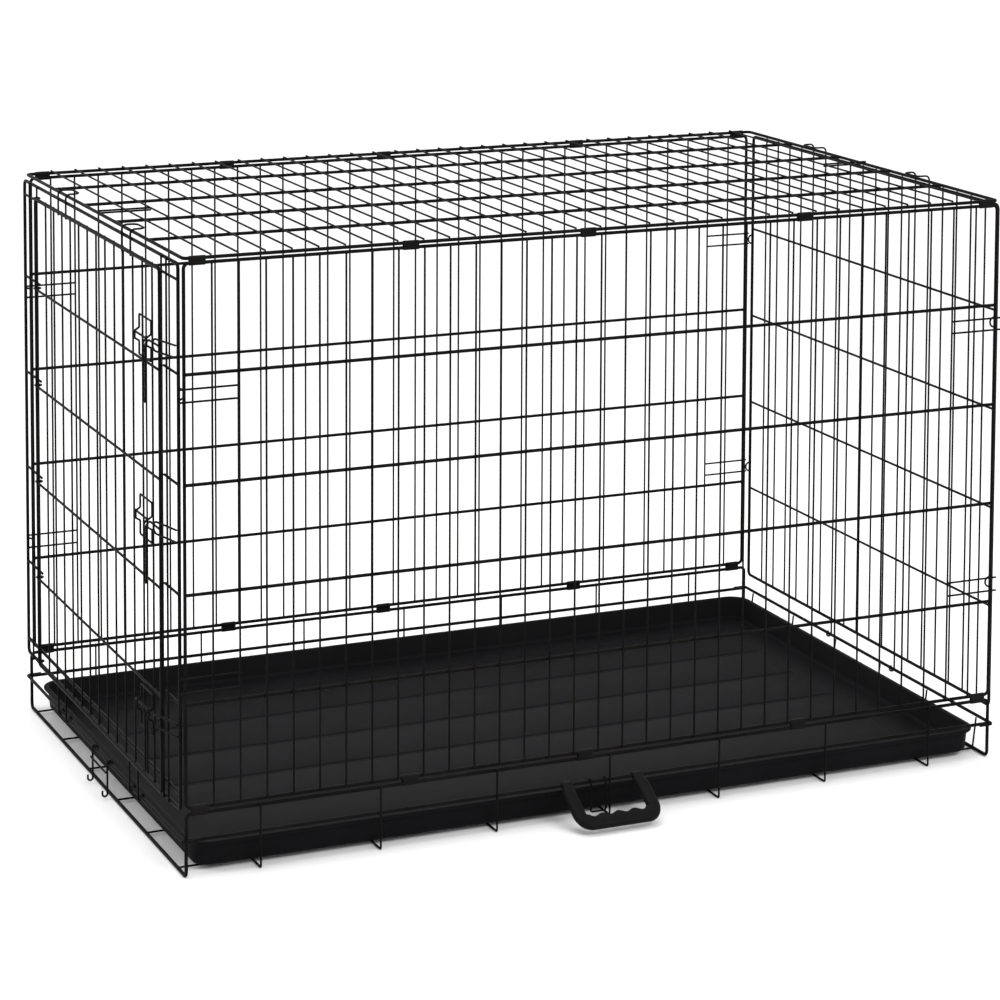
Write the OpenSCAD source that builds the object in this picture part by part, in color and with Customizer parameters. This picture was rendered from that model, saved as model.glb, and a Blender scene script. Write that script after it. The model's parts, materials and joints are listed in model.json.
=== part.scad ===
// Folding single-door wire dog crate with a plastic pan. Units mm, +Z up, door end at -X, front at -Y.

/* [Crate] */
// Length between the end rods
crate_l = 1219; // [900:1:1300]
// Width between the long upright panels
crate_w = 753.2; // [500:0.1:800]
// Height of the roof rods above the floor
roof_z = 818.3; // [600:0.1:900]
// Frame rod diameter
rod_d = 4.8; // [3:0.1:7]
// Fill wire diameter
wire_d = 2.8; // [2:0.1:4]
// Cross rod diameter on the end panels and door
bar_d = 3.2; // [2.5:0.1:4.5]
// Radius of the bent rod corners
bend_r = 7; // [5:0.5:12]
// Number of wire spaces along the length
long_spaces = 33; // [20:1:40]
// Number of wire spaces across the width
short_spaces = 19; // [12:1:24]

/* [Base] */
// Height of the upper base rails
base_z = 86; // [60:0.5:110]
// Height of the lower base rails and end hinge rails
hinge_z = 50.5; // [35:0.5:60]
// Number of U-shaped floor wires
cross_count = 7; // [5:2:9]
// Number of lengthwise floor wires
long_count = 6; // [4:2:8]

/* [Long panels] */
// Height of the bottom rods of the long panels
panel_z = 94; // [90:0.5:110]
// Height of the top rods of the long panels
panel_top = 812; // [600:1:900]
// Height of the lowest cross rod
first_bar_z = 232; // [180:1:300]
// Spacing of the cross rods
bar_step = 145; // [100:1:160]
// Length of a sheet metal clip
clip_l = 22; // [15:1:26]
// Thickness of the clip sheet
clip_t = 0.8; // [0.5:0.05:1]

/* [End panels] */
// Distance from the middle to each end panel
end_x = 615; // [614.8:0.1:617]
// Half width of the end panels
end_y = 370.8; // [360:0.1:371]
// Height of the end panel top rods
end_top = 811; // [780:0.5:812]
// Height of the rod above the door
header_z = 790; // [760:1:795]

/* [Door] */
// Distance of the hinge side jamb wire from the middle
jamb_y = 291; // [280:1:300]
// Distance of the latch side jamb wire from the middle
latch_y = 311; // [290:1:315]
// Bottom of the door frame
door_low = 98; // [96:0.5:105]
// Top of the door frame
door_high = 797; // [792:0.5:799]
// Number of wire spaces in the door
door_spaces = 14; // [10:1:18]
// Bolt diameter
bolt_d = 3.6; // [3:0.1:5]

/* [Pan] */
// Pan length over the rim
pan_l = 1200; // [1000:1:1204]
// Pan width over the rim
pan_w = 741.6; // [500:0.1:742]
// Height of the pan rim
pan_z = 42; // [25:0.5:44]
// Wall thickness of the pan
pan_t = 3; // [2:0.1:4]

/* [Handle] */
// Handle width
handle_w = 136; // [110:1:150]
// Reach from the rail to the outer edge
handle_reach = 80; // [60:1:84]
// Thickness of the grip
handle_t = 12; // [9:0.5:14]
// Angle the handle droops below level
handle_droop = 30; // [0:1:30]

/* [Hidden] */
round_fn = 48;
weld = 0.05;
lay = rod_d / 2 + wire_d / 2 + weld;
half_l = crate_l / 2;
half_w = crate_w / 2;
wire_y = half_w + lay;
back_l = half_l - 5.1;
pitch = crate_l / long_spaces;
bar_zs = [for (i = [0:3]) first_bar_z + i * bar_step];
right_zs = [for (z = bar_zs) z - 9.5];
door_zs = [for (z = bar_zs) z - 5];
end_pitch = 2 * end_y / short_spaces;
fill_x = end_x + rod_d / 2 + wire_d / 2 + weld;
rail_x = half_l + rod_d + 0.1;
curl_r = rod_d / 2 + wire_d / 2 + 0.06;
keeper_zs = [249, 268, 632, 649];
loop_zs = [258.5, 640.5];
rail_b = 91;
rail_a = 112;
door_x = -fill_x - 4.65;
door_wire_x = door_x + rod_d / 2 + wire_d / 2 + weld;
door_bar_x = door_wire_x - wire_d / 2 - bar_d / 2 - weld;
door_open_y = jamb_y - 10;
door_free_y = latch_y + 8;
bolt_zs = [197, 455, 697];
bolt_x = door_x - rod_d / 2 - bolt_d / 2 - 0.3;
bracket_ys = [-244, -296];
handle_x = -10.5;
kink = 6.2;
low_x = bolt_x - kink - wire_d / 2 - 0.2;
shift_x = -(low_x + fill_x + wire_d / 2) / 2;
handle_low = handle_reach * cos(handle_droop) + handle_t / 2 * sin(handle_droop);
shift_y = (handle_low - rod_d - 0.1 - rod_d / 2) / 2;

// A straight round wire from p to q.
module wire(p, q, d = wire_d) {
    v = q - p;
    n = norm(v);
    translate(p)
        rotate([0, acos(v[2] / n), atan2(v[1], v[0])])
            cylinder(d = d, h = n, $fn = round_fn);
}

// Ball that closes an angled joint between two wires.
module knuckle(p) {
    translate(p)
        sphere(d = wire_d + 0.4, $fn = round_fn);
}

// A bend in the XY plane about c, starting at angle a and sweeping s degrees.
module bend_xy(c, r, a, s, d = wire_d) {
    translate(c)
        rotate([0, 0, a])
            rotate_extrude(angle = s, $fn = round_fn)
                translate([r, 0])
                    circle(d = d, $fn = round_fn);
}

// The same bend standing in the XZ plane, angles from +X toward +Z.
module bend_xz(c, r, a, s, d = wire_d) {
    translate(c)
        rotate([90, 0, 0])
            bend_xy([0, 0, 0], r, a, s, d);
}

// The same bend standing in the YZ plane, angles from +Y toward +Z.
module bend_yz(c, r, a, s, d = wire_d) {
    translate(c)
        rotate([90, 0, 90])
            bend_xy([0, 0, 0], r, a, s, d);
}

// Closed rod loop in the XZ plane at depth y.
module loop_xz(hx, y, z0, z1, d = rod_d) {
    b = bend_r;
    g = weld;
    wire([-hx + b + g, y, z0], [hx - b - g, y, z0], d);
    wire([-hx + b + g, y, z1], [hx - b - g, y, z1], d);
    for (s = [-1, 1]) {
        wire([s * hx, y, z0 + b + g], [s * hx, y, z1 - b - g], d);
    }
    bend_xz([-hx + b, y, z0 + b], b, 180, 90, d);
    bend_xz([hx - b, y, z0 + b], b, 270, 90, d);
    bend_xz([hx - b, y, z1 - b], b, 0, 90, d);
    bend_xz([-hx + b, y, z1 - b], b, 90, 90, d);
}

// Closed rod loop in the YZ plane at x.
module loop_yz(x, y0, y1, z0, z1, d = rod_d) {
    b = bend_r;
    g = weld;
    wire([x, y0 + b + g, z0], [x, y1 - b - g, z0], d);
    wire([x, y0 + b + g, z1], [x, y1 - b - g, z1], d);
    for (y = [y0, y1]) {
        wire([x, y, z0 + b + g], [x, y, z1 - b - g], d);
    }
    bend_yz([x, y0 + b, z0 + b], b, 180, 90, d);
    bend_yz([x, y1 - b, z0 + b], b, 270, 90, d);
    bend_yz([x, y1 - b, z1 - b], b, 0, 90, d);
    bend_yz([x, y0 + b, z1 - b], b, 90, 90, d);
}

// Sheet clip wrapped round two parallel rods, low rod at p, the other dz above it.
module clip(p, dz) {
    r = rod_d / 2 + 0.1;
    translate([p[0] - clip_l / 2, p[1], p[2]])
        rotate([90, 0, 90])
            linear_extrude(clip_l)
                difference() {
                    clip_outline(r + clip_t, dz);
                    clip_outline(r, dz);
                }
}

module clip_outline(r, dz) {
    circle(r = r, $fn = round_fn);
    translate([0, dz])
        circle(r = r, $fn = round_fn);
    translate([-r, 0])
        square([2 * r, dz]);
}

// Row of five clips; the outer pair sits just inside the bent corners.
module clip_row(hx, y, z, dz) {
    for (x = [-hx + 18.3, -8 * pitch, -pitch, 8 * pitch, hx - 18.3]) {
        clip([x, y, z], dz);
    }
}

// Upright grille of one long side, s = -1 front, s = 1 back.
module side_panel(s, hx) {
    y = s * half_w;
    loop_xz(hx, y, panel_z, panel_top);
    for (z = bar_zs) {
        wire([-hx + rod_d / 2 + weld, y, z], [hx - rod_d / 2 - weld, y, z], rod_d - 0.2);
    }
    for (i = [1:long_spaces - 1]) {
        x = -half_l + i * pitch;
        wire([x, s * wire_y, panel_z - 0.5], [x, s * wire_y, panel_top + 1]);
    }
}

// Short pairs of keeper wires at both ends of a long side.
module keepers(s, hx) {
    for (z = keeper_zs, e = [-1, 1]) {
        wire([e * (hx + 2), s * wire_y, z], [e * (half_l - pitch + wire_d / 2 + weld), s * wire_y, z]);
        wire([e * (half_l - pitch - wire_d / 2 - weld), s * wire_y, z],
             [e * (half_l - 2 * pitch + wire_d / 2 + weld), s * wire_y, z]);
    }
}

// Half-round loops that catch behind the long panel posts.
module corner_loops(s) {
    x = s * (end_x - rod_d / 2 - weld);
    for (e = [-1, 1], z = loop_zs) {
        bend_xz([x, e * (end_y - 2), z], 7.2, s > 0 ? 90 : -90, 180);
    }
}

// Two hairpins that fold inward over the roof end rod.
module top_loops(s) {
    z = roof_z + rod_d / 2 + wire_d / 2 + 2.6;
    x = s * fill_x;
    inner = s * (half_l - 14);
    for (k = [5, 13]) {
        y0 = end_y - k * end_pitch;
        y1 = y0 - end_pitch;
        for (y = [y0, y1]) {
            wire([x, y, end_top + 2.1], [x, y, z - 5]);
            bend_xz([x - s * 5, y, z - 5], 5, s > 0 ? 0 : 90, 90);
            wire([x - s * 5, y, z], [inner, y, z]);
        }
        bend_xy([inner, y0 - 5, z], 5, s > 0 ? 90 : 0, 90);
        bend_xy([inner, y1 + 5, z], 5, s > 0 ? 180 : 270, 90);
        wire([inner - s * 5, y0 - 5, z], [inner - s * 5, y1 + 5, z]);
    }
}

// Wires of an end panel that run down and curl round the hinge rail.
module hinge_loops(s, ys, top) {
    r = fill_x - rail_x;
    for (y = ys) {
        wire([s * fill_x, y, hinge_z], [s * fill_x, y, top]);
        translate([s * rail_x, y, hinge_z])
            mirror([s > 0 ? 1 : 0, 0, 0])
                bend_xz([0, 0, 0], r, 180, 260);
    }
}

module base_loop_frame() {
    b = bend_r;
    g = weld;
    for (s = [-1, 1]) {
        wire([s * half_l, -half_w + b + g, rod_d / 2], [s * half_l, half_w - b - g, rod_d / 2], rod_d);
        wire([-half_l + b + g, s * half_w, base_z], [half_l - b - g, s * half_w, base_z], rod_d);
        bend_yz([s * half_l, -half_w + b, rod_d / 2 + b], b, 180, 90, rod_d);
        bend_yz([s * half_l, half_w - b, rod_d / 2 + b], b, 270, 90, rod_d);
        for (e = [-1, 1]) {
            wire([s * half_l, e * half_w, rod_d / 2 + b + g],
                 [s * half_l, e * half_w, base_z - b - g], rod_d);
            bend_xz([s * (half_l - b), e * half_w, base_z - b], b, s > 0 ? 0 : 90, 90, rod_d);
        }
    }
}

module base_lower_rails() {
    x = half_l - rod_d / 2 - weld;
    for (s = [-1, 1]) {
        wire([-x, s * half_w, hinge_z], [x, s * half_w, hinge_z], rod_d);
    }
}

// U-shaped wires: a leg on each long side and a run across the floor.
module base_cross_wires() {
    b = 3;
    g = b + weld;
    step = 4 * crate_l / ((cross_count + 1) * 4 - 3.2);
    for (i = [-(cross_count - 1) / 2 : (cross_count - 1) / 2]) {
        x = i * step;
        wire([x, -wire_y + g, wire_d / 2], [x, wire_y - g, wire_d / 2]);
        bend_yz([x, -wire_y + b, wire_d / 2 + b], b, 180, 90);
        bend_yz([x, wire_y - b, wire_d / 2 + b], b, 270, 90);
        for (s = [-1, 1]) {
            wire([x, s * wire_y, wire_d / 2 + g], [x, s * wire_y, base_z + 1.5]);
        }
    }
}

// Lengthwise floor wires with a sloping tail up to the right hinge rail.
module base_long_wires() {
    z = wire_d * 1.5 + weld;
    for (i = [0:long_count - 1]) {
        y = (i - (long_count - 1) / 2) * 138;
        wire([-half_l + rod_d / 2 + weld, y, z], [half_l - 4.2, y, z]);
        wire([half_l - 4.1, y, z + 1.5], [half_l + 0.8, y, hinge_z - 1]);
    }
}

module end_hinge_rails() {
    r = rod_d + 0.1;
    hook_x = half_l - weld;
    for (s = [-1, 1]) {
        wire([s * rail_x, weld - half_w, hinge_z], [s * rail_x, half_w - weld, hinge_z], rod_d);
        for (e = [-1, 1]) {
            bend_xy([s * half_l, e * half_w, hinge_z], r, s * e > 0 ? (s > 0 ? 0 : 180) : (s > 0 ? 270 : 90),
                    90, rod_d);
            wire([s * hook_x, e * (half_w + r), hinge_z],
                 [s * (half_l - 16), e * (half_w + r), hinge_z], rod_d);
        }
    }
}

module clips_front_bottom() {
    clip_row(half_l, -half_w, base_z, panel_z - base_z);
}

module clips_back_bottom() {
    clip_row(back_l, half_w, base_z, panel_z - base_z);
}

module front_panel() {
    side_panel(-1, half_l);
}

module front_keepers() {
    keepers(-1, half_l);
}

module clips_front_top() {
    clip_row(half_l, -half_w, panel_top, roof_z - panel_top);
}

module back_panel() {
    side_panel(1, back_l);
}

module back_keepers() {
    keepers(1, back_l);
}

module clips_back_top() {
    clip_row(back_l, half_w, panel_top, roof_z - panel_top);
}

// Roof grille: rod loop, lengthwise rods and cross wires lying on top.
module top_panel() {
    b = bend_r;
    g = weld;
    for (s = [-1, 1]) {
        wire([s * half_l, -half_w + b + g, roof_z], [s * half_l, half_w - b - g, roof_z], rod_d);
        wire([-half_l + b + g, s * half_w, roof_z], [half_l - b - g, s * half_w, roof_z], rod_d);
    }
    bend_xy([half_l - b, half_w - b, roof_z], b, 0, 90, rod_d);
    bend_xy([-half_l + b, half_w - b, roof_z], b, 90, 90, rod_d);
    bend_xy([-half_l + b, -half_w + b, roof_z], b, 180, 90, rod_d);
    bend_xy([half_l - b, -half_w + b, roof_z], b, 270, 90, rod_d);
    x = half_l - rod_d / 2 - weld;
    for (k = [-1.5, -0.5, 0.5, 1.5]) {
        wire([-x, k * 151.2, roof_z], [x, k * 151.2, roof_z], rod_d - 0.2);
    }
    for (i = [1:long_spaces - 1]) {
        across = -half_l + i * pitch;
        wire([across, -half_w - 1, roof_z + lay], [across, half_w + 1, roof_z + lay]);
    }
}

// Doubled short wires in the middle of each roof end, one of them bent over the end rod.
module top_end_stays() {
    for (s = [-1, 1]) {
        x = s * half_l;
        inner = s * (half_l - 2 * pitch);
        z = roof_z + lay;
        for (y = [0, -wire_d - 0.4]) {
            wire([x, y, z], [s * (half_l - pitch + wire_d / 2 + weld), y, z]);
            wire([s * (half_l - pitch - wire_d / 2 - weld), y, z], [inner + s * (wire_d / 2 + weld), y, z]);
        }
        translate([x, 0, roof_z])
            mirror([s > 0 ? 1 : 0, 0, 0])
                bend_xz([0, 0, 0], lay, 90, 30);
    }
}

module left_end_frame() {
    b = bend_r;
    loop_yz(-end_x, -end_y, end_y, rail_b, end_top);
    y = end_y - rod_d / 2 - weld;
    wire([-end_x, -y, rail_a], [-end_x, y, rail_a], rod_d);
    wire([-end_x, -y, header_z], [-end_x, y, header_z], bar_d);
    for (z = bar_zs) {
        wire([-end_x, -y, z], [-end_x, -latch_y, z], bar_d);
        wire([-end_x, y, z], [-end_x, jamb_y, z], bar_d);
    }
}

// Jamb wires, the wires beside them and the short ones above the door.
module left_end_wires() {
    for (y = [end_pitch - end_y, -latch_y, jamb_y, end_y - end_pitch]) {
        wire([-fill_x, y, rail_b - 2], [-fill_x, y, end_top + 2]);
    }
    for (k = [5, 6, 13, 14]) {
        y = end_y - k * end_pitch;
        wire([-fill_x, y, header_z - 1.5], [-fill_x, y, end_top + 2]);
    }
}

module left_top_loops() {
    top_loops(-1);
}

module left_corner_loops() {
    corner_loops(-1);
}

module left_hinge_loops() {
    hinge_loops(-1, [-5 * end_pitch, -4 * end_pitch, 4 * end_pitch, 5 * end_pitch], rail_b + 2);
}

// Hairpin strikes from the corner post past the jamb, one outside each bolt tip.
module bolt_strikes() {
    x = bolt_x - bolt_d / 2 - wire_d / 2 - 0.35;
    y = -latch_y - 11;
    for (z = bolt_zs) {
        for (e = [-1, 1]) {
            knuckle([x, y, z + e * 8]);
            wire([x, y, z + e * 8], [-end_x - rod_d / 2 - 1.2, -end_y, z + e * 8]);
        }
        bend_yz([x, y, z], 8, -90, 180);
    }
}

module right_end_panel() {
    loop_yz(end_x, -end_y, end_y, 75, end_top);
    y = end_y - rod_d / 2 - weld;
    for (z = right_zs) {
        wire([end_x, -y, z], [end_x, y, z], bar_d);
    }
    for (i = [1:short_spaces - 1]) {
        wire([fill_x, end_y - i * end_pitch, 73.5], [fill_x, end_y - i * end_pitch, end_top + 2]);
    }
}

module right_top_loops() {
    top_loops(1);
}

module right_corner_loops() {
    corner_loops(1);
}

module right_hinge_loops() {
    hinge_loops(1, [end_y - 7 * end_pitch, end_y - 12 * end_pitch], 73.4);
}

// Swinging door grille lying just outside the end panel.
module door_panel() {
    loop_yz(door_x, -door_free_y, door_open_y, door_low, door_high, rod_d);
    step = (door_open_y + door_free_y) / door_spaces;
    for (i = [1:door_spaces - 1]) {
        y = -door_free_y + i * step;
        wire([door_wire_x, y, door_low - 1], [door_wire_x, y, door_high + 1]);
    }
    for (z = door_zs) {
        wire([door_bar_x, -door_free_y + rod_d / 2 + weld, z],
             [door_bar_x, door_open_y - rod_d / 2 - weld, z], bar_d);
    }
}

// Rings of the door that turn on the jamb wire.
module door_hinge_loops() {
    for (z = concat([door_low + 1], door_zs, [door_high - 1])) {
        wire([door_x, door_open_y + rod_d / 2 + weld, z], [door_x, jamb_y, z]);
        bend_xy([-fill_x, jamb_y, z], 4.65, -100, 280);
    }
}

// Wire rectangles that carry the bolts on the door.
module bolt_brackets() {
    x = bolt_x;
    for (z = bolt_zs) {
        for (y = bracket_ys, e = [-1, 1]) {
            wire([x, y, z + e * 27], [x, y, z + e * 8]);
            wire([x, y, z + e * 8], [x - kink, y, z + e * 3]);
            knuckle([x, y, z + e * 27]);
            knuckle([x, y, z + e * 8]);
            knuckle([x - kink, y, z + e * 3]);
        }
        for (y = bracket_ys) {
            wire([x - kink, y, z - 3], [x - kink, y, z + 3]);
        }
        for (e = [-1, 1]) {
            wire([x, bracket_ys[0], z + e * 27], [x, bracket_ys[1], z + e * 27]);
        }
    }
}

// Sliding bolt with its drop loop handle.
module bolt(z) {
    x = bolt_x;
    y = -280;
    wire([x, -219, z], [x, -329, z], bolt_d);
    translate([x, -329, z])
        sphere(d = bolt_d, $fn = round_fn);
    wire([x - bolt_d - 1, y - 5, z], [x - bolt_d - 1, y - 5, z - 78]);
    wire([x - bolt_d - 1, y + 5, z], [x - bolt_d - 1, y + 5, z - 78]);
    bend_yz([x - bolt_d - 1, y, z - 78], 5, 180, 180);
    wire([x, y - 5, z], [x - bolt_d - 1, y - 5, z]);
    wire([x, y + 5, z], [x - bolt_d - 1, y + 5, z]);
}

module upper_bolt() {
    bolt(bolt_zs[2]);
}

module middle_bolt() {
    bolt(bolt_zs[1]);
}

module lower_bolt() {
    bolt(bolt_zs[0]);
}

module pan_outline(l, w, r) {
    square([l - 2 * r, w], center = true);
    square([l, w - 2 * r], center = true);
    for (sx = [-1, 1], sy = [-1, 1]) {
        translate([sx * (l / 2 - r), sy * (w / 2 - r)])
            circle(r = r, $fn = round_fn);
    }
}

// Lift-out pan with a rolled rim and pressed lengthwise channels.
module tray() {
    low = wire_d * 2 + 0.4;
    inset = 10;
    difference() {
        union() {
            translate([0, 0, low])
                linear_extrude(pan_z - low)
                    pan_outline(pan_l - inset, pan_w - inset, 26);
            translate([0, 0, pan_z - 5])
                linear_extrude(5)
                    pan_outline(pan_l, pan_w, 31);
        }
        translate([0, 0, low + pan_t])
            linear_extrude(pan_z)
                pan_outline(pan_l - inset - 2 * pan_t, pan_w - inset - 2 * pan_t, 23);
        for (k = [-2.5:1:2.5]) {
            translate([0, k * 118, low + pan_t - 1.4])
                linear_extrude(3) {
                    square([1050, 11], center = true);
                    for (s = [-1, 1]) {
                        translate([s * 525, 0])
                            circle(d = 11, $fn = round_fn);
                    }
                }
        }
    }
}

// Wire gate on the left hinge rail that keeps the pan from sliding out.
module tray_latch() {
    for (y = [-50, 22]) {
        translate([-rail_x, y, hinge_z])
            mirror([0, 0, 1])
                bend_xz([0, 0, 0], curl_r, 180, 240);
        wire([-rail_x - curl_r, y, 8], [-rail_x - curl_r, y, hinge_z]);
        bend_xz([-rail_x - curl_r - 5, y, 8], 5, 270, 90);
        bend_xz([-rail_x - curl_r - 5, y, 8], 5, 180, 90);
        wire([-rail_x - curl_r - 10, y, 8], [-rail_x - curl_r - 10, y, 15]);
    }
    x = -rail_x - curl_r - wire_d - weld;
    wire([x, -51, hinge_z - 12], [x, 23, hinge_z - 12]);
}

// Plastic grip with finger grooves, clamped on the lower front rail.
module carry_handle() {
    arm = handle_w / 2 - 14.5;
    translate([handle_x, -half_w, hinge_z])
        rotate([handle_droop, 0, 0])
            difference() {
                union() {
                    translate([0, 0, -handle_t / 2])
                        linear_extrude(handle_t)
                            grip_outline();
                    for (s = [-1, 1]) {
                        translate([s * arm - 7.5, -16, -4])
                            cube([15, 14, 8]);
                        translate([s * arm, 0, 0])
                            rotate([0, 90, 0])
                                cylinder(r = 4.9, h = 15, center = true, $fn = round_fn);
                    }
                }
                rotate([0, 90, 0])
                    cylinder(r = rod_d / 2 + 0.06, h = handle_w, center = true, $fn = round_fn);
            }
}

module grip_outline() {
    r = 24;
    w = handle_w / 2;
    difference() {
        union() {
            translate([-w, -handle_reach + r])
                square([2 * w, handle_reach - r - 14]);
            translate([-w + r, -handle_reach])
                square([2 * (w - r), r + 1]);
            for (s = [-1, 1]) {
                translate([s * (w - r), -handle_reach + r])
                    circle(r = r, $fn = round_fn);
            }
        }
        translate([-w + 18, -56])
            square([2 * w - 36, 60]);
        for (k = [-1.5:1:1.5]) {
            translate([k * 24, -55])
                circle(r = 9.5, $fn = round_fn);
        }
    }
}

// Small wire catch that swings on the lower front rail.
module fold_latch() {
    y = -half_w - curl_r;
    for (x = [-29, -6]) {
        bend_yz([x, -half_w, hinge_z], curl_r, 0, 180);
        wire([x, y, 12], [x, y, hinge_z]);
    }
    bend_xz([-26, y, 12], 3, 180, 90);
    bend_xz([-9, y, 12], 3, 270, 90);
    wire([-26, y, 9], [-9, y, 9]);
}

translate([shift_x, shift_y, 0]) {
    color("#1b1a1a") base_loop_frame();
    color("#1b1a1a") base_lower_rails();
    color("#1b1a1a") base_cross_wires();
    color("#1b1a1a") base_long_wires();
    color("#1b1a1a") end_hinge_rails();
    color("#232222") clips_front_bottom();
    color("#232222") clips_back_bottom();
    color("#1b1a1a") front_panel();
    color("#1b1a1a") front_keepers();
    color("#232222") clips_front_top();
    color("#1b1a1a") back_panel();
    color("#1b1a1a") back_keepers();
    color("#232222") clips_back_top();
    color("#1b1a1a") top_panel();
    color("#1b1a1a") top_end_stays();
    color("#1b1a1a") left_end_frame();
    color("#1b1a1a") left_end_wires();
    color("#1b1a1a") left_top_loops();
    color("#1b1a1a") left_corner_loops();
    color("#1b1a1a") left_hinge_loops();
    color("#1b1a1a") bolt_strikes();
    color("#1b1a1a") right_end_panel();
    color("#1b1a1a") right_top_loops();
    color("#1b1a1a") right_corner_loops();
    color("#1b1a1a") right_hinge_loops();
    color("#1b1a1a") door_panel();
    color("#1b1a1a") door_hinge_loops();
    color("#1b1a1a") bolt_brackets();
    color("#1b1a1a") upper_bolt();
    color("#1b1a1a") middle_bolt();
    color("#1b1a1a") lower_bolt();
    color("#17171a") tray();
    color("#1b1a1a") tray_latch();
    color("#141414") carry_handle();
    color("#1b1a1a") fold_latch();
}
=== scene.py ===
"""Looks of the folding wire dog crate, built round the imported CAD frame. Metres, same axes as the CAD."""
import json
import math

import bpy
from mathutils import Matrix, Vector


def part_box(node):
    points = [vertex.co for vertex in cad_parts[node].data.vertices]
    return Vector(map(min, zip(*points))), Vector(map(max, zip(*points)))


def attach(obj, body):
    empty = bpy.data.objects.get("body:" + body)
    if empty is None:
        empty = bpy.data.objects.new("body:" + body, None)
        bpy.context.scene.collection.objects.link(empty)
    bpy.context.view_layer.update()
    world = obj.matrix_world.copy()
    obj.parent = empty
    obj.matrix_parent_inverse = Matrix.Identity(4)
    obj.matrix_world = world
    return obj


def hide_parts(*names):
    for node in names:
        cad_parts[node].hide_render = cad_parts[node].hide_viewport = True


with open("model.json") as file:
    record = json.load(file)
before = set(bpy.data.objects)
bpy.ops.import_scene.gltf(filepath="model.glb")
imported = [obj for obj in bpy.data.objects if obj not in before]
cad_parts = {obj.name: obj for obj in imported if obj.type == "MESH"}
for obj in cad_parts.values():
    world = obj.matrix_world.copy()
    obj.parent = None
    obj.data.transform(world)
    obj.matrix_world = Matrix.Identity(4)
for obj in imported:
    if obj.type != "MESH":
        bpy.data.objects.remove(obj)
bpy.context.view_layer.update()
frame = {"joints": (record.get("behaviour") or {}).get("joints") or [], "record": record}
MM = 0.001

# Sizes ---------------------------------------------------------------------------------------
ROD = 4.8 * MM  # frame rods
RUNG = 4.6 * MM  # rods inside a frame
WIRE = 2.8 * MM  # fill wires
BAR = 3.6 * MM  # cross rods of the ends and the door
BOLT = 3.6 * MM  # slide bolts
SINK = 0.3 * MM  # how far welded wires sink into each other
BEND = 7 * MM  # bend radius of the frame rods
LONG_SPACES = 33  # wire spaces along the crate
SHORT_SPACES = 19  # wire spaces across an end
DOOR_SPACES = 14  # wire spaces across the door
TIP = 7 * MM  # how far keeper ends stand past their post
LATCH_Y = 311 * MM  # jamb wire on the latch side
LAY = (ROD + WIRE) / 2 - SINK  # from a rod's middle to that of a wire welded on it
FLOOR_R = ROD / 2
FLOOR_WIRE_STEP = 138 * MM  # between the lengthwise floor wires
ROOF_ROD_STEP = 151.2 * MM  # between the lengthwise roof rods
CLIP_INSET = 18.3 * MM  # from a panel's end to the middle of its outer clip
KEEPER_PROUD = 1.2 * MM  # how far the front keepers stand in front of the wires
CATCH_R = 7.2 * MM  # corner catches of the ends
CURL_R = 3.86 * MM  # wires curled round a base rail
RING_R = 4.65 * MM  # hinge rings of the door

# Places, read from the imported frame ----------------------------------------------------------
joint_at = {j["name"]: Vector(j.get("pos_m") or (0, 0, 0)) for j in frame["joints"]}
body_of = {n: b for b, ns in frame["record"]["behaviour"]["bodies"].items() for n in ns}
low = {n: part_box(n)[0] for n in body_of}
high = {n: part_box(n)[1] for n in body_of}
RAIL_X = (joint_at["right_end_fold"].x - joint_at["left_end_fold"].x) / 2
MID_X = (joint_at["right_end_fold"].x + joint_at["left_end_fold"].x) / 2
MID_Y = (joint_at["front_side_fold"].y + joint_at["side_fold"].y) / 2
HALF_W = (joint_at["side_fold"].y - joint_at["front_side_fold"].y) / 2
HALF_L = (high["front_panel"].x - low["front_panel"].x - ROD) / 2
BACK_L = (high["back_panel"].x - low["back_panel"].x - ROD) / 2
HINGE_Z = joint_at["left_end_fold"].z
PANEL_Z = joint_at["side_fold"].z
ROOF_Z = joint_at["roof_level"].z
BASE_Z = high["base_loop_frame"].z - ROD / 2
PANEL_TOP = high["front_panel"].z - ROD / 2
PITCH = 2 * HALF_L / LONG_SPACES
WIRE_Y = HALF_W + LAY
END_X = low["right_end_panel"].x + ROD / 2 - MID_X
END_Y = (high["right_end_panel"].y - low["right_end_panel"].y - ROD) / 2
END_TOP = high["left_end_frame"].z - ROD / 2
END_LOW = low["right_end_panel"].z + ROD / 2
END_PITCH = 2 * END_Y / SHORT_SPACES
FILL_X = END_X + LAY
JAMB_Y = joint_at["door_swing"].y - MID_Y
JAMB_X = MID_X - joint_at["door_swing"].x
DOOR_TOP = high["door_panel"].z - ROD / 2
DOOR_LOW = low["door_panel"].z + ROD / 2
DOOR_X = JAMB_X + RING_R
DOOR_FREE = MID_Y - low["door_panel"].y - ROD / 2
DOOR_HUNG = high["door_panel"].y - ROD / 2 - MID_Y
RAIL_A = 112 * MM
RAIL_B = low["left_end_frame"].z + ROD / 2
HEADER_Z = 790 * MM
BARS_Z = [(232 + 145 * i) * MM for i in range(4)]
RIGHT_BARS_Z = [z - 9.5 * MM for z in BARS_Z]
DOOR_BARS_Z = [z - 5 * MM for z in BARS_Z]
KEEPER_Z = [z * MM for z in (249, 268, 632, 649)]
CATCH_Z = [z * MM for z in (258.5, 640.5)]


def at(x, y, z):
    """A point given from the middle of the crate, in the row frame."""
    return Vector((MID_X + x, MID_Y + y, z))


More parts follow.
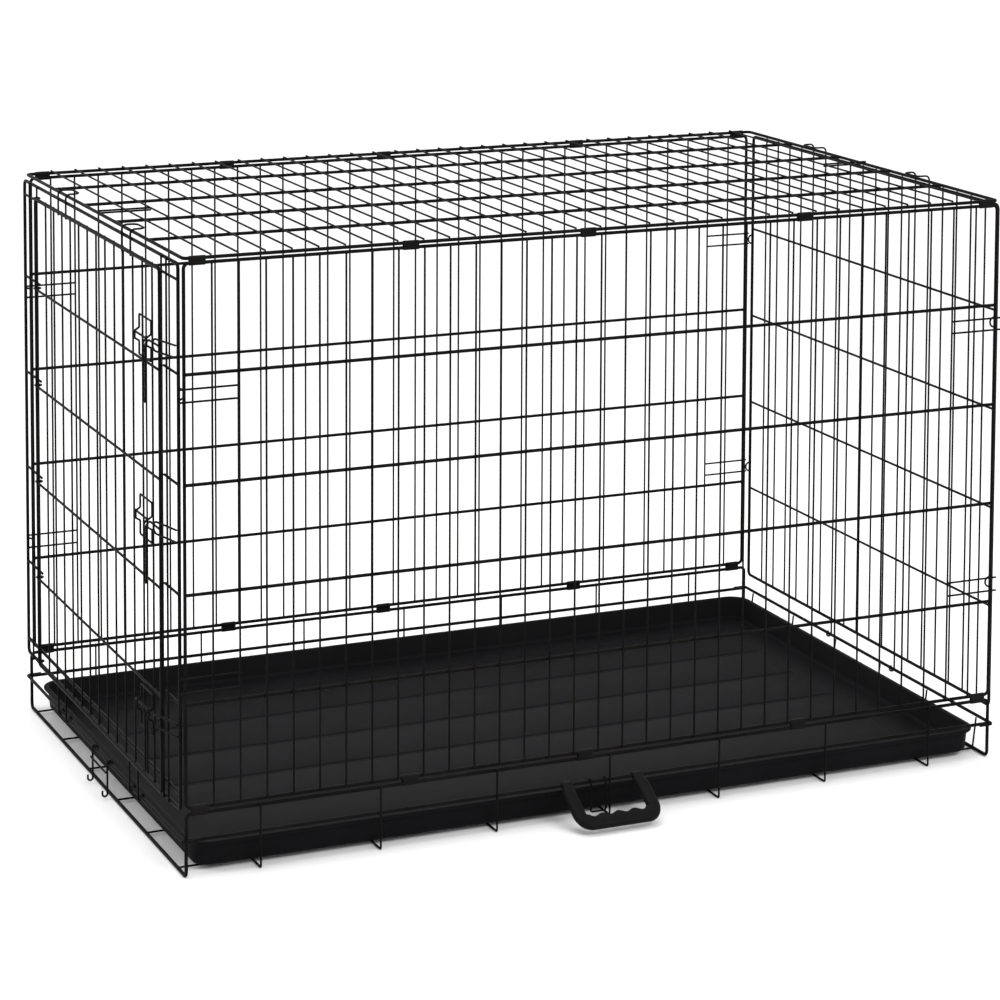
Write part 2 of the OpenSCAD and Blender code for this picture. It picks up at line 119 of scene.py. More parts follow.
# Bent wire -----------------------------------------------------------------------------------
def bent(corners, radius, closed=False, steps=6):
    """The corner points of a wire with every corner turned into an arc of that radius."""
    points = []
    count = len(corners)
    for i, corner in enumerate(corners):
        if not closed and i in (0, count - 1):
            points.append(corner)
            continue
        to_last = corners[i - 1] - corner
        to_next = corners[(i + 1) % count] - corner
        half = to_last.angle(to_next) / 2
        reach = min(radius / math.tan(half), 0.49 * to_last.length, 0.49 * to_next.length)
        bend = reach * math.tan(half)
        a, b = to_last.normalized(), to_next.normalized()
        centre = corner + (a + b).normalized() * (bend / math.sin(half))
        start, end = corner + a * reach - centre, corner + b * reach - centre
        sweep = start.angle(end)
        for k in range(steps + 1):
            t = k / steps
            blend = start * math.sin((1 - t) * sweep) + end * math.sin(t * sweep)
            points.append(centre + blend / math.sin(sweep))
    return points


def arc(centre, radius, u, v, start, sweep, steps=18):
    """Points of an arc in the plane of u and v, in degrees."""
    angles = [math.radians(start + sweep * k / steps) for k in range(steps + 1)]
    return [centre + radius * (u * math.cos(a) + v * math.sin(a)) for a in angles]


def sweep_tube(verts, faces, points, diameter, closed=False, sides=12):
    """Adds one round tube along the points; an open tube gets chamfered ends like a cut wire."""
    radius = diameter / 2
    count = len(points)
    if closed:
        tangents = [(points[(i + 1) % count] - points[i - 1]).normalized() for i in range(count)]
    else:
        tangents = [(points[min(i + 1, count - 1)] - points[max(i - 1, 0)]).normalized()
                    for i in range(count)]
    across = tangents[0].orthogonal().normalized()
    rings = []
    for point, tangent in zip(points, tangents):
        across = (across - tangent * across.dot(tangent)).normalized()
        rings.append((point, tangent, across.copy(), 1.0))
    if not closed:
        chamfer = 0.22 * radius
        first, last = rings[0], rings[-1]
        rings[0] = (first[0] + first[1] * chamfer, *first[1:])
        rings[-1] = (last[0] - last[1] * chamfer, *last[1:])
        rings.insert(0, (first[0], first[1], first[2], 0.75))
        rings.append((last[0], last[1], last[2], 0.75))
    start = len(verts)
    for point, tangent, side, scale in rings:
        up = tangent.cross(side)
        for k in range(sides):
            a = 2 * math.pi * k / sides
            verts.append(point + (side * math.cos(a) + up * math.sin(a)) * radius * scale)
    spans = len(rings) if closed else len(rings) - 1
    for i in range(spans):
        j = (i + 1) % len(rings)
        for k in range(sides):
            n = (k + 1) % sides
            faces.append((start + i * sides + k, start + i * sides + n,
                          start + j * sides + n, start + j * sides + k))
    if not closed:
        faces.append(tuple(start + k for k in reversed(range(sides))))
        end = start + (len(rings) - 1) * sides
        faces.append(tuple(end + k for k in range(sides)))


def piece(name, verts, faces, material, body, node, sharp=40):
    """Makes a mesh piece that rides on a body and stands for a CAD node."""
    mesh = bpy.data.meshes.new(name)
    mesh.from_pydata(verts, [], faces)
    mesh.materials.append(material)
    mesh.validate()
    for polygon in mesh.polygons:
        polygon.use_smooth = True
    mesh.set_sharp_from_angle(angle=math.radians(sharp))
    obj = bpy.data.objects.new(name, mesh)
    bpy.context.scene.collection.objects.link(obj)
    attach(obj, body)
    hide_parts(node)
    return obj


def wires(node, tubes, material=None, sides=12):
    """One piece of wire work: tubes are (points, diameter) or (points, diameter, closed)."""
    verts, faces = [], []
    for tube in tubes:
        sweep_tube(verts, faces, tube[0], tube[1], closed=len(tube) > 2 and tube[2], sides=sides)
    return piece(node + "_wire", verts, faces, material or black_wire, body_of[node], node)


# Materials -----------------------------------------------------------------------------------
def start_material(name, roughness, specular, ior=1.5):
    """A principled material with the even values set on the shader itself."""
    material = bpy.data.materials.new(name)
    material.use_nodes = True
    shader = material.node_tree.nodes["Principled BSDF"]
    shader.inputs["Roughness"].default_value = roughness
    shader.inputs["Specular IOR Level"].default_value = specular
    shader.inputs["IOR"].default_value = ior
    return material, shader


def add_node(material, kind, **values):
    """A node with its inputs set by name."""
    made = material.node_tree.nodes.new(kind)
    for key, value in values.items():
        made.inputs[key.replace("_", " ")].default_value = value
    return made


def noise(material, scale, detail, coords):
    made = add_node(material, "ShaderNodeTexNoise", Scale=scale, Detail=detail)
    material.node_tree.links.new(coords.outputs["Object"], made.inputs["Vector"])
    return made


def ramp(material, source, stops):
    """A colour ramp fed by a value; stops are (place, colour)."""
    made = material.node_tree.nodes.new("ShaderNodeValToRGB")
    for element, (place, colour) in zip(made.color_ramp.elements, (stops[0], stops[-1])):
        element.position = place
        element.color = (*colour, 1)
    for place, colour in stops[1:-1]:
        made.color_ramp.elements.new(place).color = (*colour, 1)
    material.node_tree.links.new(source, made.inputs["Fac"])
    return made


def rough_range(material, shader, source, least, most):
    made = add_node(material, "ShaderNodeMapRange", To_Min=least, To_Max=most)
    material.node_tree.links.new(source, made.inputs["Value"])
    material.node_tree.links.new(made.outputs["Result"], shader.inputs["Roughness"])


def bump(material, shader, source, strength, distance):
    made = add_node(material, "ShaderNodeBump", Strength=strength, Distance=distance)
    material.node_tree.links.new(source, made.inputs["Height"])
    material.node_tree.links.new(made.outputs["Normal"], shader.inputs["Normal"])


def coated_steel(name, dark, light, roughness):
    """Powder-coated wire: near black, slightly warm, with an orange-peel surface."""
    material, shader = start_material(name, roughness, specular=0.1, ior=1.25)
    coords = material.node_tree.nodes.new("ShaderNodeTexCoord")
    patches = noise(material, 18, 4, coords)
    colour = ramp(material, patches.outputs["Fac"], [(0.35, dark), (0.7, light)])
    material.node_tree.links.new(colour.outputs["Color"], shader.inputs["Base Color"])
    peel = noise(material, 900, 3, coords)
    rough_range(material, shader, peel.outputs["Fac"], roughness - 0.08, roughness + 0.1)
    bump(material, shader, peel.outputs["Fac"], 0.25, 0.0002)
    return material


def moulded_plastic(name, dark, light, roughness, grain, depth):
    """Black moulded plastic with a fine pebbled grain and faint scuffs."""
    material, shader = start_material(name, roughness, specular=0.08, ior=1.3)
    coords = material.node_tree.nodes.new("ShaderNodeTexCoord")
    cloud = noise(material, 6, 5, coords)
    colour = ramp(material, cloud.outputs["Fac"], [(0.3, dark), (0.75, light)])
    material.node_tree.links.new(colour.outputs["Color"], shader.inputs["Base Color"])
    pebble = add_node(material, "ShaderNodeTexVoronoi", Scale=grain)
    material.node_tree.links.new(coords.outputs["Object"], pebble.inputs["Vector"])
    rough_range(material, shader, cloud.outputs["Fac"], roughness - 0.06, roughness + 0.08)
    bump(material, shader, pebble.outputs["Distance"], 0.5, depth)
    return material


black_wire = coated_steel("black_wire_coat", (0.003, 0.0027, 0.0026), (0.006, 0.0053, 0.005), 0.45)
clip_coat = coated_steel("clip_coat", (0.0045, 0.0041, 0.004), (0.008, 0.0073, 0.007), 0.38)
pan_plastic = moulded_plastic(
    "pan_plastic", (0.0035, 0.0035, 0.0041), (0.0065, 0.0064, 0.0073), 0.58, 700, 0.0003)
grip_plastic = moulded_plastic(
    "grip_plastic", (0.0045, 0.0045, 0.0044), (0.009, 0.0088, 0.0086), 0.42, 1100, 0.00015)

X, Y, Z = Vector((1, 0, 0)), Vector((0, 1, 0)), Vector((0, 0, 1))


# Base ----------------------------------------------------------------------------------------
def base():
    """Floor loop, lower rails, floor wires and the end hinge rails."""
    loop = [at(0, HALF_W, BASE_Z)]
    for s in (1, -1):
        for y, z in ((1, BASE_Z), (1, FLOOR_R), (-1, FLOOR_R), (-1, BASE_Z)):
            loop.append(at(s * HALF_L, s * y * HALF_W, z))
    loop.append(at(0, HALF_W, BASE_Z))
    wires("base_loop_frame", [(bent(loop, BEND), ROD)], sides=16)

    wires("base_lower_rails", [
        ([at(-HALF_L, s * HALF_W, HINGE_Z), at(HALF_L, s * HALF_W, HINGE_Z)], ROD)
        for s in (-1, 1)], sides=16)

    floor_wire = low["base_cross_wires"], high["base_cross_wires"]
    step = (floor_wire[1].x - floor_wire[0].x - WIRE) / 6
    crosses = []
    for i in range(-3, 4):
        u = [at(i * step, s * WIRE_Y, z) for s, z in
             ((-1, BASE_Z + 1.5 * MM), (-1, WIRE / 2), (1, WIRE / 2), (1, BASE_Z + 1.5 * MM))]
        crosses.append((bent(u, 3 * MM), WIRE))
    wires("base_cross_wires", crosses)

    rise = 1.5 * WIRE
    lengthwise = []
    for i in range(6):
        y = (i - 2.5) * FLOOR_WIRE_STEP
        run = [at(-HALF_L, y, rise), at(HALF_L - 4.6 * MM, y, rise),
               at(HALF_L + 0.8 * MM, y, HINGE_Z - 1 * MM)]
        lengthwise.append((bent(run, 3 * MM), WIRE))
    wires("base_long_wires", lengthwise)

    hook = RAIL_X - HALF_L
    rails = []
    for s in (-1, 1):
        tail = s * (HALF_L - 16 * MM)
        run = [at(tail, -HALF_W - hook, HINGE_Z), at(s * RAIL_X, -HALF_W - hook, HINGE_Z),
               at(s * RAIL_X, HALF_W + hook, HINGE_Z), at(tail, HALF_W + hook, HINGE_Z)]
        rails.append((bent(run, hook, steps=10), ROD))
    wires("end_hinge_rails", rails, sides=16)


def clips(node, half_length, y, z_low, z_high):
    """Sheet clips wrapped round the two rods and pinched at the waist between them."""
    length, gauge, clear = 22 * MM, 0.8 * MM, 0.1 * MM
    verts, faces = [], []
    rise = (z_high - z_low) / 2
    middle = (z_low + z_high) / 2
    for x in (-half_length + CLIP_INSET, -8 * PITCH, -PITCH, 8 * PITCH, half_length - CLIP_INSET):
        outline = []
        steps = 12
        for top in (1, -1):
            for k in range(steps + 1):
                a = math.radians(230 * k / steps - 25)
                outline.append((top * math.cos(a), top * rise, top * math.sin(a)))
            outline.append((-top * 0.72, 0, 0))
        stations = (-0.5, -0.46, 0.46, 0.5)
        start = len(verts)
        for t in stations:
            flare = 0.25 * MM if abs(t) == 0.5 else 0.0
            for radius in (ROD / 2 + clear + gauge - flare, ROD / 2 + clear):
                for across, shift, up in outline:
                    verts.append(at(x + t * length, y + across * radius, middle + shift + up * radius))
        ring = len(outline)
        index = lambda i, layer, k: start + (i * 2 + layer) * ring + k % ring
        for k in range(ring):
            for i in range(len(stations) - 1):
                faces.append((index(i, 0, k), index(i + 1, 0, k), index(i + 1, 0, k + 1), index(i, 0, k + 1)))
                faces.append((index(i, 1, k), index(i, 1, k + 1), index(i + 1, 1, k + 1), index(i + 1, 1, k)))
            end = len(stations) - 1
            faces.append((index(0, 0, k), index(0, 0, k + 1), index(0, 1, k + 1), index(0, 1, k)))
            faces.append((index(end, 0, k), index(end, 1, k), index(end, 1, k + 1), index(end, 0, k + 1)))
    piece(node + "_sheet", verts, faces, clip_coat, body_of[node], node, sharp=50)


# Long sides and roof -------------------------------------------------------------------------
def rod_loop_xz(half_length, y, z_low, z_high):
    corners = [at(x, y, z) for x, z in ((-half_length, z_low), (half_length, z_low),
                                        (half_length, z_high), (-half_length, z_high))]
    return bent(corners, BEND, closed=True), ROD, True


def long_side(node, side, half_length):
    """Rod loop with cross rods inside it and wires welded on the outer face."""
    y = side * HALF_W
    tubes = [rod_loop_xz(half_length, y, PANEL_Z, PANEL_TOP)]
    tubes += [([at(-half_length, y, z), at(half_length, y, z)], RUNG) for z in BARS_Z]
    for i in range(1, LONG_SPACES):
        x = -HALF_L + i * PITCH
        foot, head = PANEL_Z - 0.5 * MM, PANEL_TOP + 1 * MM
        tubes.append(([at(x, side * WIRE_Y, foot), at(x, side * WIRE_Y, head)], WIRE))
    wires(node, tubes)


def keepers(node, side, half_length):
    """Short wire pairs at the corners that the end panels' loops catch on."""
    y = -WIRE_Y - KEEPER_PROUD if side < 0 else WIRE_Y - WIRE + SINK
    tubes = []
    for z in KEEPER_Z:
        for e in (-1, 1):
            outer, inner = e * (half_length + TIP), e * (HALF_L - 2 * PITCH)
            tubes.append(([at(outer, y, z), at(inner, y, z)], WIRE))
    wires(node, tubes)


def roof():
    """Rod loop, lengthwise rods, cross wires on top and the doubled short wires at both ends."""
    corners = [at(x, y, ROOF_Z) for x, y in ((-HALF_L, -HALF_W), (HALF_L, -HALF_W),
                                             (HALF_L, HALF_W), (-HALF_L, HALF_W))]
    tubes = [(bent(corners, BEND, closed=True), ROD, True)]
    reach = HALF_L + 2 * MM
    for k in (-1.5, -0.5, 0.5, 1.5):
        y = k * ROOF_ROD_STEP
        tubes.append(([at(-reach, y, ROOF_Z), at(reach, y, ROOF_Z)], RUNG))
    over = HALF_W
    for i in range(1, LONG_SPACES):
        x = -HALF_L + i * PITCH
        tubes.append(([at(x, -over, ROOF_Z + LAY), at(x, over, ROOF_Z + LAY)], WIRE))
    wires("top_panel", tubes)

    stays = []
    for s in (-1, 1):
        inner = s * (HALF_L - 2 * PITCH)
        z = ROOF_Z + LAY - WIRE + SINK
        beside = -WIRE - 0.4 * MM
        stays.append(([at(s * (HALF_L + 2 * MM), beside, z), at(inner, beside, z)], WIRE))
        curl = arc(at(s * HALF_L, 0, ROOF_Z), LAY, s * X, Z, 90, -30)
        stays.append(([at(inner, 0, ROOF_Z + LAY)] + curl, WIRE))
    wires("top_end_stays", stays)


# Ends ----------------------------------------------------------------------------------------
def rod_loop_yz(x, y_low, y_high, z_low, z_high):
    corners = [at(x, y, z) for y, z in ((y_low, z_low), (y_high, z_low), (y_high, z_high), (y_low, z_high))]
    return bent(corners, BEND, closed=True), ROD, True


def end_fittings(side_name, s):
    """Roof hairpins and corner catches, alike on both ends."""
    hairpin_z = high[side_name + "_top_loops"].z - WIRE / 2
    inner = s * (HALF_L - 12 * MM)
    tubes = []
    for k in (5, 13):
        y0 = END_Y - k * END_PITCH
        y1 = y0 - END_PITCH
        run = [at(s * FILL_X, y0, END_TOP), at(s * FILL_X, y0, hairpin_z), at(inner, y0, hairpin_z),
               at(inner, y1, hairpin_z), at(s * FILL_X, y1, hairpin_z), at(s * FILL_X, y1, END_TOP)]
        tubes.append((bent(run, 9 * MM), WIRE))
    wires(side_name + "_top_loops", tubes)

    tubes = []
    for e in (-1, 1):
        for z in CATCH_Z:
            y = e * (END_Y - 2 * MM)
            tubes.append((arc(at(s * (END_X - 1.6 * MM), y, z), CATCH_R, -s * X, Z, -90, 180), WIRE))
    wires(side_name + "_corner_loops", tubes)


def hinge_curls(node, s, ys, top):
    """Wires that run down from the panel and curl round the hinge rail."""
    radius = FILL_X - RAIL_X
    tubes = []
    for y in ys:
        curl = arc(at(s * RAIL_X, y, HINGE_Z), radius, s * X, -Z, 0, 262)
        tubes.append(([at(s * FILL_X, y, top)] + curl, WIRE))
    wires(node, tubes)


def plain_end():
    """The right end: a full grille with two curls on the hinge rail."""
    tubes = [rod_loop_yz(END_X, -END_Y, END_Y, END_LOW, END_TOP)]
    tubes += [([at(END_X, -END_Y, z), at(END_X, END_Y, z)], BAR) for z in RIGHT_BARS_Z]
    for i in range(1, SHORT_SPACES):
        y = END_Y - i * END_PITCH
        tubes.append(([at(FILL_X, y, END_LOW - 1.5 * MM),
                       at(FILL_X, y, END_TOP + 2 * MM)], WIRE))
    wires("right_end_panel", tubes)
    end_fittings("right", 1)
    hinge_curls("right_hinge_loops", 1, [END_Y - 7 * END_PITCH, END_Y - 12 * END_PITCH], END_LOW)


def door_end():
    """The left end: a frame round the doorway with the jamb wires and short wires above the door."""
    tubes = [rod_loop_yz(-END_X, -END_Y, END_Y, RAIL_B, END_TOP)]
    tubes.append(([at(-END_X, -END_Y, RAIL_A), at(-END_X, END_Y, RAIL_A)], ROD))
    tubes.append(([at(-END_X, -END_Y, HEADER_Z), at(-END_X, END_Y, HEADER_Z)], BAR))
    for post, jamb in ((-END_Y, 2 * MM - LATCH_Y), (END_Y, JAMB_Y - 2 * MM)):
        tubes += [([at(-END_X, post, z), at(-END_X, jamb, z)], BAR) for z in BARS_Z]
    wires("left_end_frame", tubes)

    tubes = []
    for y in (-END_Y + END_PITCH, -LATCH_Y, JAMB_Y, END_Y - END_PITCH):
        tubes.append(([at(-FILL_X, y, RAIL_B - 2 * MM), at(-FILL_X, y, END_TOP + 2 * MM)], WIRE))
    for k in (5, 6, 13, 14):
        y = END_Y - k * END_PITCH
        tubes.append(([at(-FILL_X, y, HEADER_Z - 1.5 * MM), at(-FILL_X, y, END_TOP + 2 * MM)], WIRE))
    wires("left_end_wires", tubes)
    end_fittings("left", -1)
    hinge_curls("left_hinge_loops", -1, [k * END_PITCH for k in (-5, -4, 4, 5)], RAIL_B + 2 * MM)


# Door and latches ----------------------------------------------------------------------------
BOLT_X = DOOR_X + ROD / 2 + BOLT / 2 + 0.3 * MM
BOLT_Z = {name: high[name].z - BOLT / 2 for name in ("lower_bolt", "middle_bolt", "upper_bolt")}


def door():
    """Door grille and the rings that turn on the jamb wire."""
    wire_x = DOOR_X - LAY
    bar_x = wire_x + (WIRE + BAR) / 2 - SINK
    tubes = [rod_loop_yz(-DOOR_X, -DOOR_FREE, DOOR_HUNG, DOOR_LOW, DOOR_TOP)]
    step = (DOOR_HUNG + DOOR_FREE) / DOOR_SPACES
    for i in range(1, DOOR_SPACES):
        y = -DOOR_FREE + i * step
        tubes.append(([at(-wire_x, y, DOOR_LOW - 1 * MM), at(-wire_x, y, DOOR_TOP + 1 * MM)], WIRE))
    tubes += [([at(-bar_x, -DOOR_FREE, z), at(-bar_x, DOOR_HUNG, z)], BAR) for z in DOOR_BARS_Z]
    wires("door_panel", tubes)

    rings = []
    for z in [DOOR_LOW + 1 * MM] + DOOR_BARS_Z + [DOOR_TOP - 1 * MM]:
        ring = arc(at(-JAMB_X, JAMB_Y, z), RING_R, X, Y, 180, -280)
        rings.append(([at(-DOOR_X, DOOR_HUNG, z)] + ring, WIRE))
    wires("door_hinge_loops", rings)


def latches():
    """Bolt brackets on the door, strikes on the frame and the three sliding bolts."""
    near, far = -244 * MM, -296 * MM
    kink = 6.2 * MM
    brackets, strikes = [], []
    for z in BOLT_Z.values():
        corners = []
        for y, up in ((near, 1), (far, -1)):
            for dx, dz in ((0, -27), (0, -9), (kink, -5), (kink, 5), (0, 9), (0, 27)):
                corners.append(at(-BOLT_X - dx, y, z + up * dz * MM))
        brackets.append((bent(corners, 2.2 * MM, closed=True, steps=4), WIRE, True))
        weld_x = -END_X - ROD / 2 - WIRE / 2 + SINK
        strike_x = -BOLT_X - (BOLT + WIRE) / 2 - 0.35 * MM
        nose = -LATCH_Y - 3 * MM
        run = [at(weld_x, -END_Y, z - 8 * MM), at(strike_x, nose, z - 8 * MM),
               at(strike_x, nose, z + 8 * MM), at(weld_x, -END_Y, z + 8 * MM)]
        strikes.append((bent(run, 7.9 * MM, steps=8), WIRE))
    wires("bolt_brackets", brackets)
    wires("bolt_strikes", strikes)

    for name, z in BOLT_Z.items():
        out, drop, mid = BOLT + 1 * MM, 83 * MM, -280 * MM
        run = [at(-BOLT_X, -330.8 * MM, z), at(-BOLT_X, mid - 5 * MM, z)]
        run += [at(-BOLT_X - out, mid - 5 * MM, z - 5 * MM), at(-BOLT_X - out, mid - 5 * MM, z - drop)]
        run += [at(-BOLT_X - out, mid + 5 * MM, z - drop), at(-BOLT_X - out, mid + 5 * MM, z - 5 * MM)]
        run += [at(-BOLT_X, mid + 5 * MM, z), at(-BOLT_X, -219 * MM, z)]
        wires(name, [(bent(run, 3.6 * MM), WIRE + 0.2 * MM)])


# Pan -----------------------------------------------------------------------------------------
def rounded_ring(half_x, half_y, radius, z, corner_steps=8):
    """Points round a rounded rectangle, counter-clockwise."""
    ring = []
    for sx, sy, start in ((1, 1, 0), (-1, 1, 90), (-1, -1, 180), (1, -1, 270)):
        for k in range(corner_steps + 1):
            a = math.radians(start + 90 * k / corner_steps)
            ring.append(Vector((MID_X + sx * (half_x - radius) + radius * math.cos(a),
                                MID_Y + sy * (half_y - radius) + radius * math.sin(a), z)))
    return ring


def pan():
    """Moulded pan: drafted walls, rolled rim and pressed channels with soft edges."""
    bottom, rim = low["tray"].z, high["tray"].z
    half_x = (high["tray"].x - low["tray"].x) / 2
    half_y = (high["tray"].y - low["tray"].y) / 2
    floor = bottom + 3 * MM
    profile = [(11, bottom + 1.5 * MM), (9, bottom + 4 * MM), (6.5, rim - 6 * MM), (5.6, rim - 5 * MM),
               (0.8, rim - 4.8 * MM), (0.1, rim - 3.8 * MM), (0.0, rim - 1.4 * MM), (0.6, rim - 0.3 * MM),
               (2.2, rim), (5.6, rim), (7.2, rim - 0.6 * MM), (8.2, rim - 2.2 * MM), (9.4, rim - 12 * MM),
               (9.9, rim - 12.8 * MM), (12.2, floor + 5 * MM), (13.4, floor + 2 * MM), (16, floor + 0.3 * MM),
               (19, floor)]
    verts, faces = [], []
    for inset, z in profile:
        inset *= MM
        verts += rounded_ring(half_x - inset, half_y - inset, max(31 * MM - inset, 8 * MM), z)
    ring = len(verts) // len(profile)
    for i in range(len(profile) - 1):
        for k in range(ring):
            n = (k + 1) % ring
            faces.append((i * ring + k, i * ring + n, (i + 1) * ring + n, (i + 1) * ring + k))
    faces.append(tuple(reversed(range(ring))))

    half_slot, slot_end, depth, blend = 5.5 * MM, 525 * MM, 1.4 * MM, 1.6 * MM
    centres = [(k - 2.5) * 118 * MM for k in range(6)]
    edge_x, edge_y, corner = half_x - 18 * MM, half_y - 18 * MM, 13 * MM
    fine = [-1, -0.6, -0.2, 0.2, 0.6, 1]
    xs = {-edge_x, edge_x}
    for s in (-1, 1):
        xs.update(s * (slot_end + half_slot * t / 6) for t in range(0, 9))
    xs.update(slot_end * t / 12 for t in range(-12, 13))
    ys = {-edge_y, edge_y}
    for c in centres:
        for s in (-1, 1):
            ys.update(c + s * half_slot + blend * t for t in fine)
        ys.update(c + half_slot * t / 3 for t in (-2, -1, 0, 1, 2))
    xs, ys = sorted(xs), sorted(ys)
    start = len(verts)
    for x in xs:
        for y in ys:
            px, py = x, y
            over_x, over_y = abs(x) - (edge_x - corner), abs(y) - (edge_y - corner)
            if over_x > 0 and over_y > 0 and math.hypot(over_x, over_y) > corner:
                shrink = corner / math.hypot(over_x, over_y)
                px = math.copysign(edge_x - corner + over_x * shrink, x)
                py = math.copysign(edge_y - corner + over_y * shrink, y)
            near = min(math.hypot(max(abs(x) - slot_end, 0), y - c) for c in centres)
            t = min(max((half_slot + blend - near) / (2 * blend), 0), 1)
            verts.append(at(px, py, floor - depth * t * t * (3 - 2 * t)))
    for i in range(len(xs) - 1):
        for j in range(len(ys) - 1):
            a = start + i * len(ys) + j
            faces.append((a, a + len(ys), a + len(ys) + 1, a + 1))
    piece("tray_pan", verts, faces, pan_plastic, body_of["tray"], "tray", sharp=35)


# Latches and grip on the base ----------------------------------------------------------------
def tray_gate():
    """Two hooked legs on the left hinge rail, joined by a cross wire."""
    leg_x = -RAIL_X - CURL_R
    tubes = []
    for y in (-50 * MM, 22 * MM):
        top = arc(at(-RAIL_X, y, HINGE_Z), CURL_R, X, Z, -60, 240)
        foot = arc(at(leg_x - 3.6 * MM, y, 8 * MM), 3.6 * MM, X, Z, 0, -180)
        tubes.append((top + foot + [at(leg_x - 7.2 * MM, y, 13 * MM)], WIRE))
    z = HINGE_Z - 12 * MM
    tubes.append(([at(leg_x - WIRE + SINK, -51 * MM, z), at(leg_x - WIRE + SINK, 23 * MM, z)], WIRE))
    wires("tray_latch", tubes)


def fold_catch():
    """Small wire U that hangs from the lower front rail."""
    y = -HALF_W - CURL_R
    run = [at(-29 * MM, y, HINGE_Z), at(-29 * MM, y, 9 * MM), at(-6 * MM, y, 9 * MM), at(-6 * MM, y, HINGE_Z)]
    ends = [arc(at(x, -HALF_W, HINGE_Z), CURL_R, Y, Z, 0, 180) for x in (-29 * MM, -6 * MM)]
    wires("fold_latch", [(ends[0] + bent(run, 3 * MM) + ends[1][::-1], WIRE)])


def grip():
    """Moulded D grip: one swept bar with finger grooves on its inner edge, and a clamp on each arm."""
    arm, reach, bar = 53.5 * MM, 80 * MM, 24 * MM
    droop = math.radians(30)
    hinge = joint_at["handle_swing"]
    turn = Matrix.Rotation(droop, 4, "X")
    place = lambda v: hinge + turn @ Vector(v)
    centre = reach - bar / 2
    left = [(-arm, -3 * MM), (-arm - 2 * MM, -20 * MM), (-arm - 2 * MM, -centre)]
    right = [(-x, y) for x, y in reversed(left)]
    path = bent([Vector((x, y, 0)) for x, y in left + right], 14 * MM, steps=10)
    dense = []
    for a, b in zip(path, path[1:]):
        cuts = max(1, int((b - a).length / (1.6 * MM)))
        dense += [a.lerp(b, k / cuts) for k in range(cuts)]
    dense.append(path[-1])
    verts, faces = [], []
    sides = 28
    for i, p in enumerate(dense):
        ahead = (dense[min(i + 1, len(dense) - 1)] - dense[max(i - 1, 0)]).normalized()
        outward = Vector((ahead.y, -ahead.x, 0))
        if outward.dot(Vector((p.x, p.y + 35 * MM, 0))) < 0:
            outward = -outward
        on_bar = min(max((-p.y - (centre - 8 * MM)) / (8 * MM), 0), 1)
        groove = 0.0
        if abs(p.x) < 48 * MM and on_bar > 0.9:
            groove = 4.2 * MM * (0.5 + 0.5 * math.cos(2 * math.pi * (p.x / (24 * MM) + 0.5)))
        neck = min(max((-p.y - 3 * MM) / (15 * MM), 0), 1)
        half_wide = (7.5 + 1.5 * neck + 2.6 * on_bar) * MM - groove / 2
        shift = groove / 2
        half_thick = (4 + 2 * neck) * MM
        for k in range(sides):
            a = 2 * math.pi * k / sides
            c, s = math.cos(a), math.sin(a)
            wide = math.copysign(abs(c) ** 0.62, c) * half_wide + shift
            thick = math.copysign(abs(s) ** 0.62, s) * half_thick
            verts.append(place(p + outward * wide + Vector((0, 0, thick))))
    for i in range(len(dense) - 1):
        for k in range(sides):
            n = (k + 1) % sides
            faces.append((i * sides + k, i * sides + n, (i + 1) * sides + n, (i + 1) * sides + k))
    faces.append(tuple(reversed(range(sides))))
    faces.append(tuple((len(dense) - 1) * sides + k for k in range(sides)))
    for s in (-1, 1):
        start = len(verts)
        stations = ((-7.5, 4.2), (-6.9, 4.9), (6.9, 4.9), (7.5, 4.2))
        around = 28
        for t, radius in stations:
            for k in range(around):
                a = 2 * math.pi * k / around
                verts.append(place((s * arm + t * MM, radius * MM * math.cos(a), radius * MM * math.sin(a))))
        for i in range(3):
            for k in range(around):
                n = (k + 1) % around
                faces.append((start + i * around + k, start + i * around + n,
                              start + (i + 1) * around + n, start + (i + 1) * around + k))
        faces.append(tuple(start + k for k in reversed(range(around))))
        faces.append(tuple(start + 3 * around + k for k in range(around)))
    piece("carry_handle_grip", verts, faces, grip_plastic,
          body_of["carry_handle"], "carry_handle")


base()
clips("clips_front_bottom", HALF_L, -HALF_W, BASE_Z, PANEL_Z)
clips("clips_back_bottom", BACK_L, HALF_W, BASE_Z, PANEL_Z)
clips("clips_front_top", HALF_L, -HALF_W, PANEL_TOP, ROOF_Z)
clips("clips_back_top", BACK_L, HALF_W, PANEL_TOP, ROOF_Z)
long_side("front_panel", -1, HALF_L)
long_side("back_panel", 1, BACK_L)
keepers("front_keepers", -1, HALF_L)
keepers("back_keepers", 1, BACK_L)
roof()
plain_end()
door_end()
door()
latches()
pan()
tray_gate()
fold_catch()
grip()


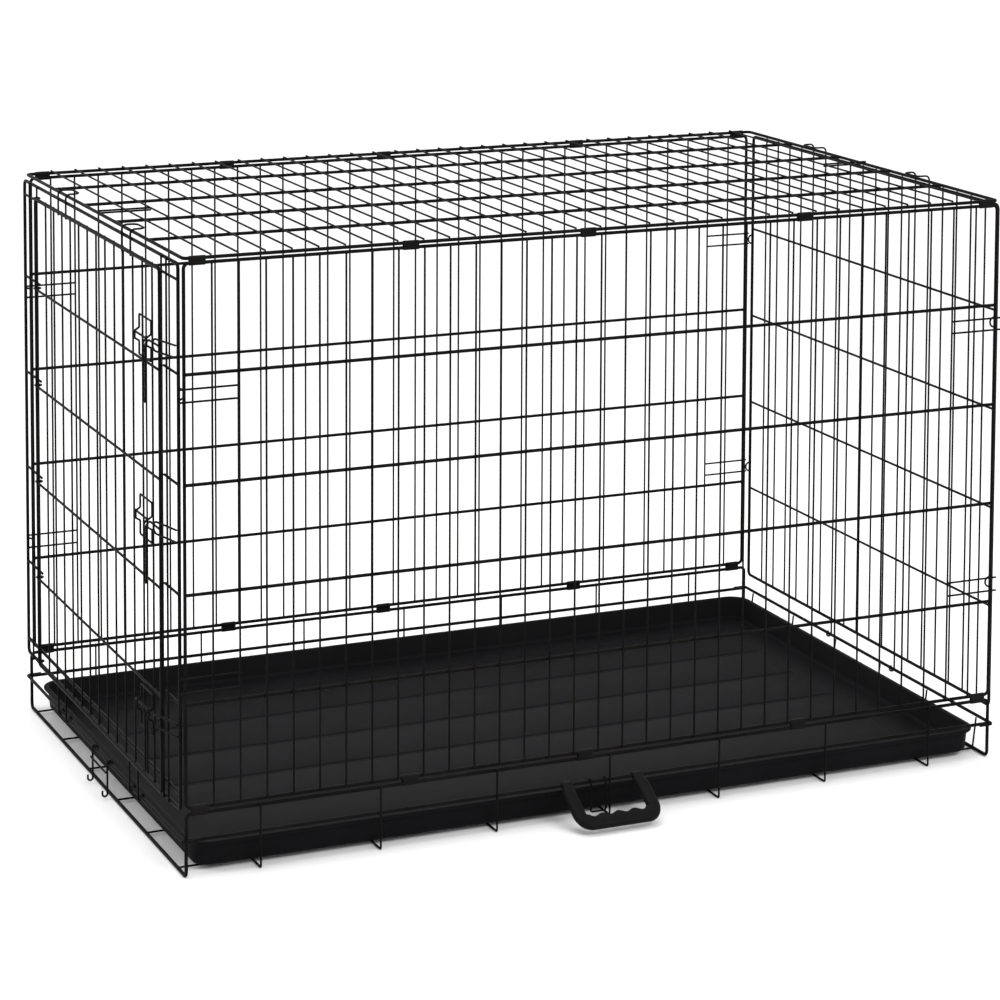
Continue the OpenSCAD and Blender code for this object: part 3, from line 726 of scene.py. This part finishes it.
# Studio --------------------------------------------------------------------------------------
def studio():
    """White sweep, soft lights and the camera."""
    wide, near, back, rise, curve = 9.0, -8.0, 4.5, 7.0, 1.6
    outline = [(near, 0.0)] + [(back - curve + curve * math.sin(a), curve - curve * math.cos(a))
                               for a in [math.radians(6 * k) for k in range(16)]] + [(back, rise)]
    turn = Matrix.Rotation(math.radians(-23.62), 4, "Z")
    verts = [turn @ Vector((x, y, z)) for y, z in outline for x in (-wide, wide)]
    faces = [(2 * i, 2 * i + 1, 2 * i + 3, 2 * i + 2) for i in range(len(outline) - 1)]
    mesh = bpy.data.meshes.new("studio_sweep")
    mesh.from_pydata(verts, [], faces)
    for polygon in mesh.polygons:
        polygon.use_smooth = True
    sweep = bpy.data.objects.new("studio_sweep", mesh)
    bpy.context.scene.collection.objects.link(sweep)
    white, shader = start_material("studio_white", 0.6, 0.2)
    shader.inputs["Base Color"].default_value = (0.86, 0.86, 0.865, 1)
    mesh.materials.append(white)

    world = bpy.data.worlds.new("studio_world")
    bpy.context.scene.world = world
    world.use_nodes = True
    world.node_tree.nodes["Background"].inputs["Color"].default_value = (1, 1, 1, 1)
    world.node_tree.nodes["Background"].inputs["Strength"].default_value = 0.95

    def softbox(name, place, aim, size, power):
        data = bpy.data.lights.new(name, "AREA")
        data.shape = "RECTANGLE"
        data.size, data.size_y = size
        data.energy = power
        light = bpy.data.objects.new(name, data)
        light.location = place
        light.rotation_euler = (Vector(aim) - Vector(place)).to_track_quat("-Z", "Y").to_euler()
        bpy.context.scene.collection.objects.link(light)

    softbox("key_box", (1.2, -3.6, 3.4), (0, 0, 0.4), (2.6, 1.6), 95)
    softbox("top_box", (-0.4, 0.2, 3.6), (0, 0, 0.2), (3.4, 2.6), 70)
    softbox("rim_box", (-3.8, 1.0, 1.8), (0, 0, 0.4), (1.4, 2.4), 45)

    camera_data = bpy.data.cameras.new("camera")
    camera_data.sensor_width = 36
    camera_data.lens = 115.06
    camera_data.shift_y = -0.5234
    camera = bpy.data.objects.new("camera", camera_data)
    yaw = Matrix.Rotation(math.radians(-23.622), 4, "Z")
    pitch = Matrix.Rotation(math.radians(84.689), 4, "X")
    roll = Matrix.Rotation(math.radians(0.259), 4, "Z")
    camera.matrix_world = Matrix.Translation(at(-1.8579, -4.2382, 1.5581)) @ yaw @ pitch @ roll
    bpy.context.scene.collection.objects.link(camera)
    bpy.context.scene.camera = camera
    bpy.context.scene.view_settings.view_transform = "Standard"


studio()
